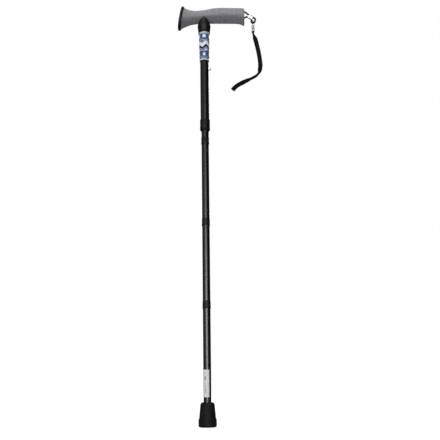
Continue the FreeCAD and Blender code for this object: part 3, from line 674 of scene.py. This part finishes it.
# %% Neck and crown
socket = [(outer_r, upper_top), (outer_r, socket_foot), (10.4, socket_foot), (11.7, neck_foot)]
groove = [(0.0, 0.0), (0.0, 2.7), (-0.7, 3.1), (-0.7, 4.1), (0.0, 4.5)]
outline = socket + [(neck_r + out, neck_foot + up) for out, up in groove]
outline += [(CROWN_HALF - 0.2, CROWN_BASE - 0.8), (CROWN_HALF, CROWN_BASE - 0.2)]
neck_outline = eased(outline, 0.45)
angles = circle(144)
rings = [[mm(r * math.cos(a), r * math.sin(a), z) for a in angles] for r, z in neck_outline]
tops = [CROWN_FOOT + (CROWN_TOP - CROWN_FOOT) * (1 - abs(math.cos(a)) ** 1.55) for a in angles]
rows = 22
for row in range(rows + 1):
    heights = [CROWN_BASE + (top - CROWN_BASE) * row / rows for top in tops]
    rings.append([crown_point(a, z) for a, z in zip(angles, heights)])
for lift, sink in ((0.2, 0.25), (0.32, 0.7), (0.36, 1.3), (0.36, 3.2)):
    rings.append([crown_point(a, top + lift, sink) for a, top in zip(angles, tops)])
rings.append([mm(3 * math.cos(a), 3 * math.sin(a), grip_base + 6) for a in angles])
neck = skin("neck_and_crown", rings, crease=50)
settle(neck, plastic_finish, "handle", "handle_core")

# %% [markdown]
# ## Turned and moulded rings on the shaft
# The collar, the three ferrules, the rubber tip and the snap button are all turned shapes. Each is
# an outline of radius and height. Real edges are never sharp, so every corner of an outline is
# rounded a little, which gives each edge its thin line of light.

# %% Collar
low = collar_low.z / MM
high = collar_high.z / MM
collar_r = collar_high.x / MM
bore = tube_r + 0.3
flank = [
    (-1.7, 0.0), (-0.55, 2.3), (-0.1, 3.0), (-0.1, 4.1), (-0.75, 4.4), (-0.75, 5.3), (0.0, 5.7),
    (0.0, 9.0), (-0.3, 9.5),
]
outline = [(bore, low + 0.4), (bore + 0.5, low)] + [(collar_r + out, low + up) for out, up in flank]
outline += [(collar_r - 0.3, high - 1.4), (collar_r - 0.9, high), (outer_r + 0.3, high)]
outline += [(outer_r + 0.3, high - 1.5), (outer_r + 0.95, high - 2.2), (outer_r + 0.9, low + 7.0)]
outline.append((bore, low + 2.0))
collar = turned("collar", eased(outline, 0.35))
settle(collar, collar_finish, "collar", "locking_collar")

# %% Ferrules
sleeve = tube_r + 0.52
lip = tube_r + 0.85
for number in (1, 2, 3):
    foot, top = (corner.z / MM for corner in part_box(f"ferrule_{number}"))
    outline = [(tube_r - 0.9, foot), (lip - 0.25, foot), (lip, foot + 0.35), (lip, foot + 2.4)]
    outline += [(sleeve, foot + 3.5), (sleeve, top - 0.9), (tube_r + 0.12, top), (tube_r - 0.02, top)]
    outline += [(tube_r - 0.02, foot + 1.5), (tube_r - 0.9, foot + 1.5)]
    ferrule = turned(f"ferrule_ring_{number}", eased(outline, 0.3, 3))
    settle(ferrule, plastic_finish, f"section_{number}", f"ferrule_{number}")

# %% Rubber tip
base_r = tip_high.x / MM
outline = [(tube_r - 2.0, 10.4), (tube_r, 10.4), (tube_r, 46.8), (tube_r + 0.5, 48.0)]
outline += [(11.8, 48.0), (14.1, 45.2), (14.5, 43.4), (16.6, 19.5), (17.2, 17.0), (17.5, 15.6)]
outline += [(base_r - 0.05, 14.6), (base_r, 13.2), (base_r, 3.2), (base_r - 0.5, 1.4)]
outline.append((base_r - 2.4, 0.0))
# rings under the foot
for share in (0.78, 0.6, 0.42):
    ring_r = base_r * share
    outline += [(ring_r + 1.4, 0.0), (ring_r + 1.2, 1.4), (ring_r + 0.2, 1.4), (ring_r, 0.0)]
outline += [(5.9, 0.0), (0.4, 0.0)]
tip_boot = turned("tip_boot", eased(outline, 0.5), hollow=False)
settle(tip_boot, rubber_finish, "section_4", "rubber_tip")

# %% Snap button
button_low, button_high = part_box("snap_button")
button_x, button_end = button_low.x / MM, button_high.x / MM
button_r = (button_high.z - button_low.z) / 2 / MM
button_z = (button_high.z + button_low.z) / 2
button_length = button_end - button_x
DOME = 1.7
outline = [(button_r - 0.6, 0.0), (button_r, 0.5)]
for step in range(9):
    bend = math.radians(90 * step / 8)
    inward = DOME * 1.9 * (1 - math.cos(bend))
    outline.append((button_r - inward, button_length - DOME + DOME * math.sin(bend)))
outline.append((0.05, button_length + 0.02))
button = turned("snap_button_pin", outline, steps=48, hollow=False)
lie_down = Matrix.Rotation(math.radians(90), 4, "Y")
button.data.transform(Matrix.Translation((button_x * MM, 0, button_z)) @ lie_down)
settle(button, bright_finish, "button", "snap_button")

# %% [markdown]
# ## The leaf behind the button
# A strip of spring steel, bent into a U, pushes the button out. When the button is pressed, the leg
# behind it bends and the other leg stays against the tube. Here the strip is one fixed piece, made as it
# rests.

# %% The leaf's line
spring_low, spring_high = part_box("snap_spring")
half_leaf = 0.3
leg_x = spring_high.x / MM - half_leaf
leaf_side = spring_high.y / MM - half_leaf
leaf_top, leaf_foot = spring_high.z / MM, spring_low.z / MM + half_leaf
fold_depth = 4.0
LEG_STEPS = 36
leg_length = leaf_top - leaf_foot - fold_depth
leg = [Vector((leg_x, 0, leaf_top - leg_length * step / LEG_STEPS)) for step in range(LEG_STEPS)]
turn = []
for step in range(25):
    bend = math.pi * step / 24
    height = leaf_foot + fold_depth * (1 - math.sin(bend))
    turn.append(Vector((leg_x * math.cos(bend), 0, height)))
leaf_line = leg + turn + [Vector((-point.x, 0, point.z)) for point in leg[::-1]]
print("leaf's line:", len(leaf_line), "points")

# %% Leaf spring
rings = []
for point, direction in zip(leaf_line, directions(leaf_line)):
    outward = direction.cross(Vector((0, 1, 0)))
    ring = []
    for step in range(16):
        angle = math.pi * (step + 0.5) / 8
        wide = math.copysign(leaf_side, math.cos(angle)) + half_leaf * math.cos(angle)
        ring.append((point + Vector((0, wide, 0)) + outward * (half_leaf * math.sin(angle))) * MM)
    rings.append(ring)
leaf = skin("snap_spring_leaf", rings, crease=50)
leaf.data.materials.append(spring_finish)
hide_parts("snap_spring")
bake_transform(leaf)
print("leaf:", len(leaf.data.polygons), "faces")

# %% [markdown]
# ## Cords from a route
# The strap hangs from the nose on a thin braided cord. A cord is a smooth line through space, so its
# route is kept as a few control points of a NURBS spline, and the braided tube follows the points
# that Blender reads back from that spline. The tube's surface rises and sinks in crossing spirals.

# %% A smooth line
def spline_points(name, route):
    """The points of a smooth line that has the route as its control points."""
    curve = bpy.data.curves.new(name, "CURVE")
    curve.dimensions = "3D"
    curve.resolution_u = 24
    spline = curve.splines.new("NURBS")
    spline.points.add(len(route) - 1)
    for point, at in zip(spline.points, route):
        point.co = (*at, 1)
    spline.order_u = 3
    spline.use_endpoint_u = True
    line = add(name, curve)
    mesh = bpy.data.meshes.new_from_object(line)
    points = [vertex.co.copy() for vertex in mesh.vertices]
    bpy.data.objects.remove(line)
    bpy.data.meshes.remove(mesh)
    return points


def measure(points):
    """How far along the line each point is."""
    reach = [0.0]
    for before, after in zip(points, points[1:]):
        reach.append(reach[-1] + (after - before).length)
    return reach


def evenly(points, pitch):
    """Points at even steps along a line."""
    reach = measure(points)
    count = max(2, round(reach[-1] / pitch))
    found = []
    number = 0
    for step in range(count + 1):
        wanted = reach[-1] * step / count
        while number < len(points) - 2 and reach[number + 1] < wanted:
            number += 1
        span = max(reach[number + 1] - reach[number], 1e-9)
        found.append(points[number].lerp(points[number + 1], (wanted - reach[number]) / span))
    return found


# %% Braided tubes
BRAID_PITCH = 0.0032
CARRIERS = 4
Y_AXIS = Vector((0, 1, 0))


def lay_uvs(piece, count, lengths):
    """Lay UVs on a skin: u once round each ring, v the length along it in metres."""
    layer = piece.data.uv_layers.new(name="thread")
    rows = len(lengths) - 1
    for face in piece.data.polygons:
        row, column = divmod(face.index, count)
        if row >= rows:
            continue
        for loop, vertex in zip(face.loop_indices, face.vertices):
            ring, spot = divmod(vertex, count)
            turn = 1.0 if (column == count - 1 and spot == 0) else spot / count
            far = row + 1 if ring != row else row
            layer.data[loop].uv = (turn, lengths[far])


def braided(name, route, radius, side):
    """A braided cord along a route that lies in the plane square to side."""
    points = evenly(spline_points(name + "_line", route), 0.00028)
    reach = measure(points)
    rings = []
    for point, direction, far in zip(points, directions(points), reach):
        other = direction.cross(side).normalized()
        climb = 2 * math.pi * far / BRAID_PITCH
        ring = []
        for angle in circle(32):
            turn = CARRIERS * angle
            lift = abs(math.sin((turn + climb) / 2) * math.sin((turn - climb) / 2))
            reached = radius * (0.93 + 0.09 * lift)
            ring.append(point + (side * math.cos(angle) + other * math.sin(angle)) * reached)
        rings.append(ring)
    piece = skin(name, rings)
    lay_uvs(piece, 32, reach)
    print(f"{name}: {reach[-1] * 1000:.1f} mm long")
    return piece, points


# %% Braid finish
def braid_threads(ink):
    """Black polyester braid: crossed carriers, each of fine strands."""
    u, v = thread(ink)
    climb = v * (2 * math.pi / BRAID_PITCH)
    left = (u * (2 * CARRIERS * math.pi) + climb).sine()
    right = (u * (2 * CARRIERS * math.pi) - climb).sine()
    strands = (u * (96 * math.pi) + climb * 6.0).sine() * 0.5 + 0.5
    threads = left * right * 0.35 + 0.5 + strands * 0.15
    return dict(
        Base_Color=mix(threads, grey(0.002), grey(0.016)),
        Roughness=threads * -0.2 + 0.8,
        Normal=raised(threads, 0.00025, 0.8),
    )


braid_finish = finish("black_cord", braid_threads, Sheen_Weight=0.04, Specular_IOR_Level=0.1)

# %% [markdown]
# ## Anchor cord, crimp and link
# The anchor cord leaves the nose by two holes, its two strands run side by side through a pressed
# metal crimp, and it ends in an eye. A short link hangs over the eye and holds the webbing's crimp.
# A crimp is an oval tube with two pressed waists, where the tool has bitten it.

# %% Anchor cord and link
ANCHOR_ROUTE = [
    (0.0840, 0, 0.90585), (0.0925, 0, 0.90585), (0.10074, 0, 0.89683), (0.11165, 0, 0.88976),
    (0.1160, 0, 0.88825), (0.1156, 0, 0.88205), (0.1133, 0, 0.87745), (0.1075, 0, 0.87745),
    (0.1061, 0, 0.88205), (0.10892, 0, 0.88629), (0.09768, 0, 0.89358), (0.0925, 0, 0.88995),
    (0.0840, 0, 0.88995),
]
LINK_LEG = [(0.1104, 0.0036, 0.8700), (0.1104, 0.0036, 0.8788), (0.1104, 0.0026, 0.8815)]
LINK_ROUTE = LINK_LEG + [(x, -y, z) for x, y, z in LINK_LEG[::-1]]
anchor_cord, anchor_line = braided("anchor_cord_braid", ANCHOR_ROUTE, 0.0020, Y_AXIS)
settle(anchor_cord, braid_finish, "handle", "anchor_cord")
link_loop = braided("link_loop_braid", LINK_ROUTE, 0.0013, Vector((1, 0, 0)))[0]
settle(link_loop, braid_finish, "strap_link", "link_loop")


# %% A crimp's shape
def crimp(name, centre, along_it, across_it, size, mouth, bites):
    """An oval sleeve, in mm, with pressed waists and an open mouth at its far end."""
    length, width, thickness = size
    third = along_it.cross(across_it)
    flat = (width - thickness) / 2
    shape = []
    for step in range(33):
        share = step / 32
        edge = min(share, 1 - share) * length
        roll = 0.35 * (1 - min(edge / 0.6, 1.0)) ** 2
        bite = sum(math.exp(-(((share - place) / 0.055) ** 2)) for place in bites)
        shape.append((share * length - length / 2, roll + 0.55 * bite, roll - 0.18 * bite))
    # the far end turns back inside as the mouth
    inner_end = length / 2 - mouth
    shape += [(length / 2 - 0.25, 0.75, 0.75), (length / 2 - 0.9, 0.85, 0.85), (inner_end, 0.85, 0.85)]
    rings = []
    for far, press, spread in shape:
        ring = []
        for angle in circle(64):
            reach = math.copysign(flat, math.cos(angle)) if abs(math.cos(angle)) > 1e-6 else 0.0
            wide = reach + (thickness / 2 - spread) * math.cos(angle)
            deep = (thickness / 2 - press) * math.sin(angle)
            ring.append((centre + along_it * far + across_it * wide + third * deep) * MM)
        rings.append(ring)
    return skin(name, rings, crease=50)


# %% The two crimps
cord_crimp = crimp(
    "cord_crimp_sleeve",
    centre=Vector((105.0, 0, 891.45)),
    along_it=Vector((0.839, 0, -0.544)).normalized(),
    across_it=Vector((0.544, 0, 0.839)).normalized(),
    size=(11.0, 10.4, 6.0),
    mouth=1.2,
    bites=(0.3, 0.7),
)
settle(cord_crimp, bright_finish, "handle", "cord_crimp")
webbing_crimp = crimp(
    "webbing_crimp_sleeve",
    centre=Vector((110.4, 0, 862.65)),
    along_it=Vector((0, 0, -1)),
    across_it=Y_AXIS,
    size=(15.6, 13.0, 6.1),
    mouth=3.2,
    bites=(0.28, 0.55),
)
settle(webbing_crimp, bright_finish, "strap_link", "webbing_crimp")

# %% [markdown]
# ## The webbing loop
# The wrist loop is one length of flat webbing, folded so that its two plies hang together. It leaves
# the crimp edge on, soon turns its face to the front, is edge on again past the bend, and ends face
# on. Its mid-line is a spline, as the cord's is. The plies lie on each side of it, closer together
# in the crimp and past the bend. A table of angles gives the twist.

# %% The webbing's measures
WEBBING_ROUTE = [
    (0.1104, 0, 0.8528), (0.1148, 0, 0.8383), (0.1196, 0, 0.8158), (0.1234, 0, 0.7928),
    (0.1252, 0, 0.7688), (0.1189, 0, 0.7508), (0.1034, 0, 0.7423), (0.0854, 0, 0.7340),
    (0.0694, 0, 0.7253), (0.0628, 0, 0.7173),
]
TWIST = [
    (0.0, 1), (0.012, 6), (0.04, 34), (0.11, 76), (0.2, 90), (0.42, 88), (0.52, 58), (0.6, -2),
    (0.72, -3), (0.79, 16), (0.87, 66), (1.0, 84),
]
PLY_OFFSET = 0.0015
PINCHED_OFFSET = 0.0008
PINCH = [
    (0.0, 0.0), (0.012, 1.0), (0.045, 1.0), (0.075, 0.0), (0.56, 0.0), (0.6, 0.5), (0.72, 0.5),
    (0.78, 0.0),
]
WEBBING_WIDTH = 0.0095
WEBBING_THICKNESS = 0.0014


def by_share(table, share):
    """A smooth reading between the rows of a table of (share, value)."""
    for (low_share, low_value), (high_share, high_value) in zip(table, table[1:]):
        if share <= high_share:
            part = smooth_step((share - low_share) / (high_share - low_share))
            return low_value + (high_value - low_value) * part
    return table[-1][1]


# places across one face, from its edge to its middle, and the share of the thickness there
FACE = [(1.0, 0.0), (0.985, 0.55), (0.93, 1.0), (0.84, 1.0), (0.76, 0.84), (0.6, 0.84)]
FACE += [(0.3, 0.84), (0.0, 0.84)]
FACE += [(-share, thick) for share, thick in FACE[-2:0:-1]]


def webbing_section(point, across, outward):
    """One ring of webbing: flat, a little thicker at its two woven edges, with round sides."""
    half, deep = WEBBING_WIDTH / 2, WEBBING_THICKNESS / 2
    outline = []
    for side in (1, -1):
        for share, thick in FACE:
            outline.append(point + across * (half * share * side) + outward * (deep * thick * side))
    return outline


# %% The webbing's line
midline = evenly(spline_points("webbing_line", WEBBING_ROUTE), 0.0011)
reach = measure(midline)
frames = []
for point, direction, far in zip(midline, directions(midline), reach):
    twist = math.radians(by_share(TWIST, far / reach[-1]))
    in_plane = direction.cross(Y_AXIS).normalized()
    across = (Y_AXIS * math.cos(twist) + in_plane * math.sin(twist)).normalized()
    frames.append((point, direction, across, direction.cross(across).normalized()))

pinches = [by_share(PINCH, min(far / reach[-1], 1.0)) for far in reach]
offsets = [PLY_OFFSET + (PINCHED_OFFSET - PLY_OFFSET) * pinch for pinch in pinches]
print("webbing's mid-line, mm:", round(reach[-1] * 1000, 1))


# %% Webbing
def fold(frame_at_end, side):
    """The rings of the half turn that joins the two plies, from one side round to the other."""
    point, direction, across, outward = frame_at_end
    rings = []
    for step in range(1, 10):
        bend = math.pi * step / 10
        spoke = (outward * math.cos(bend) + direction * math.sin(bend)) * side
        rings.append((point + spoke * PLY_OFFSET, across, spoke))
    return rings


def ply(side):
    """The rings of one ply, on one side of the mid-line or the other."""
    rings = []
    for offset, (point, _, across, outward) in zip(offsets, frames):
        rings.append((point + outward * (offset * side), across, outward * side))
    return rings


band = ply(1) + fold(frames[-1], 1) + ply(-1)[::-1] + fold(frames[0], -1)

webbing = skin("webbing_loop", [webbing_section(*ring) for ring in band], looped=True)
webbing_path = [ring[0] for ring in band]
webbing_reach = measure(webbing_path + webbing_path[:1])
lay_uvs(webbing, 28, webbing_reach)
print("webbing once round, mm:", round(webbing_reach[-1] * 1000, 1))


# %% Webbing finish
def webbing_weave(ink):
    """Black nylon webbing: warp ribs along it, crossed by fine weft."""
    u, v = thread(ink)
    ribs = (u * (2 * math.pi * 20)).sine()
    weft = (v * (2 * math.pi / 0.0009)).sine()
    weave = ribs * weft * 0.5 + 0.5
    fuzz = speckle(ink, 900.0, 3.0)
    return dict(
        Base_Color=mix(weave * 0.7 + fuzz * 0.3, grey(0.001), grey(0.009)),
        Roughness=fuzz * 0.15 + 0.68,
        Normal=raised(weave, 0.00022, 0.9),
    )


webbing_finish = finish("black_webbing", webbing_weave, Sheen_Weight=0.03, Specular_IOR_Level=0.08)
settle(webbing, webbing_finish, "wrist_strap", "wrist_webbing")

# %% [markdown]
# ## What is a cord
# Two pieces are real cords: the anchor cord, and the webbing, which is a flat one. The anchor cord's
# length is measured along its line and printed.

anchor_length = measure(anchor_line)[-1]
print("anchor cord, mm:", round(anchor_length * 1000, 1))

# %% [markdown]
# ## The pieces that stay as they are
# The tubes, bushes, plugs and pins are right as they come: plain turned and drawn shapes at their
# real size. They only take a finish. Most are hidden until the cane is pulled apart.

# %% Finishes for the frame's own pieces
FINISHES = [
    (shaft_finish, ("upper_tube", "inner_tube", "middle_tube", "lower_tube", "bottom_tube")),
    (label_finish, ("label_film",)),
    (sticker_finish, ("sticker",)),
    (plastic_finish, ("strap_plug", "spigot_1", "spigot_2", "spigot_3")),
    (nylon_finish, ("collet_bush", "slide_bush", "top_anchor", "bottom_anchor")),
    (shock_finish, ("shock_cord",)),
    (steel_finish, ("tip_washer", "neck_pin")),
]
for material, nodes in FINISHES:
    for node in nodes:
        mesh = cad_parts[node].data
        mesh.materials.clear()
        mesh.materials.append(material)
    print(material.name, "on", ", ".join(nodes))

# %% [markdown]
# ## Floor and surroundings
# The cane stands free on a white floor. To show as plain white without more light on the cane, the
# floor has a little glow of its own that only the camera sees, so the cane's shadow still shows near
# the tip. The surroundings are white to the camera too. Black gloss shows what stands around it, so
# in mirrored light they are dark, paler on the left, with one band in front that draws the line of
# light down the tubes and fades upwards.

# %% Floor
NEAR_GLOW, FAR_GLOW = 0.8, 0.99


def glowing(ink):
    """A glow that only the camera sees, stronger away from the cane."""
    seen = ink.node("ShaderNodeLightPath", outlet="Is Camera Ray")
    far = place(ink).node("ShaderNodeVectorMath", {"operation": "LENGTH"}, {0: place(ink)}, outlet="Value")
    glow = far.eased(0.5, 1.6) * (FAR_GLOW - NEAR_GLOW) + NEAR_GLOW
    return {"Emission Color": mix(seen * glow, grey(0.0), grey(1.0))}


matt = {"Base_Color": grey(0.4), "Roughness": 1.0, "Specular_IOR_Level": 0.0, "Emission_Strength": 1.0}
floor_mesh = bpy.data.meshes.new("floor")
floor_mesh.from_pydata([(-6, -6, 0), (6, -6, 0), (6, 6, 0), (-6, 6, 0)], [], [(0, 1, 2, 3)])
floor_mesh.materials.append(finish("floor_white", glowing, **matt))
floor = add("floor", floor_mesh)
floor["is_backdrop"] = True
print("floor:", floor.name)

# %% Surroundings
DIFFUSE_WORLD = 0.14
DARK_WORLD = 0.015
LEFT_WORLD = 0.22
FRONT_WORLD = 9.5
world = bpy.data.worlds.new("studio")
bpy.context.scene.world = world
world.use_nodes = True
background = world.node_tree.nodes["Background"]
background.inputs["Color"].default_value = (1, 1, 1, 1)
sky = Ink(world.node_tree)
kinds = ("Camera", "Glossy", "Transmission")
rays = {kind: sky.node("ShaderNodeLightPath", outlet=f"Is {kind} Ray") for kind in kinds}
inputs = {"Vector": sky.node("ShaderNodeTexCoord", outlet="Generated")}
x, y, z = (sky.node("ShaderNodeSeparateXYZ", inputs=inputs, outlet=letter) for letter in "XYZ")
from_left = (x * -1.0).eased(0.1, 0.8) * (LEFT_WORLD - DARK_WORLD) + DARK_WORLD
fading = z.eased(-0.05, 0.36) * -0.98 + 1.0
from_front = (y * -1.0).eased(0.8, 0.95) * fading * FRONT_WORLD
mirrored = rays["Glossy"].sum("MAXIMUM", rays["Transmission"]) * (from_left + from_front)
other = (1.0 - rays["Glossy"]) * DIFFUSE_WORLD
level = rays["Camera"].sum("MAXIMUM", mirrored).sum("MAXIMUM", other)
world.node_tree.links.new(level.socket, background.inputs["Strength"])
print("world:", len(world.node_tree.nodes), "nodes")

# %% [markdown]
# ## Camera and lamps
# The camera stands low and looks slightly up, which is why the shaft narrows towards the top. The
# lamps are broad and soft: one overhead for the top of the grip, a weak one on the left, one low and
# one high in front, and one behind for the back. The high front one gives no mirror image, which
# would make the upper tube too bright.

# %% Camera
camera_data = bpy.data.cameras.new("camera")
camera_data.lens = 57.5
camera_data.sensor_width = 36
camera_data.clip_start = 0.01
camera = add("camera", camera_data)
bpy.context.scene.camera = camera
pitch = math.radians(90 + 12.484)
roll = math.radians(-0.77)
turn = Matrix.Rotation(pitch, 4, "X") @ Matrix.Rotation(roll, 4, "Z")
camera.matrix_world = Matrix.Translation((0.03, -1.455, 0.10)) @ turn
bpy.context.scene.view_settings.view_transform = "Standard"
print("camera at:", [round(value, 3) for value in camera.location])


# %% Lamps
def lamp(name, at, aim, width, height, power, in_gloss=True):
    """A soft rectangular lamp that looks at a point. Gloss shows its image unless told not to."""
    data = bpy.data.lights.new(name, "AREA")
    data.shape = "RECTANGLE"
    data.size = width
    data.size_y = height
    data.energy = power
    made = add(name, data)
    made.visible_glossy = in_gloss
    toward = (Vector(aim) - Vector(at)).to_track_quat("-Z", "Y")
    made.matrix_world = Matrix.Translation(at) @ toward.to_matrix().to_4x4()


lamp("key", (-0.25, -1.0, 2.5), (0.0, 0.0, 0.88), 0.9, 0.7, 24.0)
lamp("left_soft", (-1.6, -1.0, 0.6), (0.0, 0.0, 0.45), 0.8, 1.6, 2.0)
lamp("front_low", (-0.1, -2.0, 0.1), (0.0, 0.0, 0.1), 0.8, 0.8, 12.0)
lamp("front_high", (-0.6, -1.8, 2.2), (0.0, 0.0, 0.4), 1.2, 1.2, 10.0, in_gloss=False)
lamp("back_high", (0.4, 1.9, 2.0), (0.0, 0.0, 0.5), 1.0, 1.0, 24.0)

# %% [markdown]
# What was modelled here should keep the size of the real cane. The box of what shows now is worked
# out here.

# %% Finish
low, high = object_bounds()
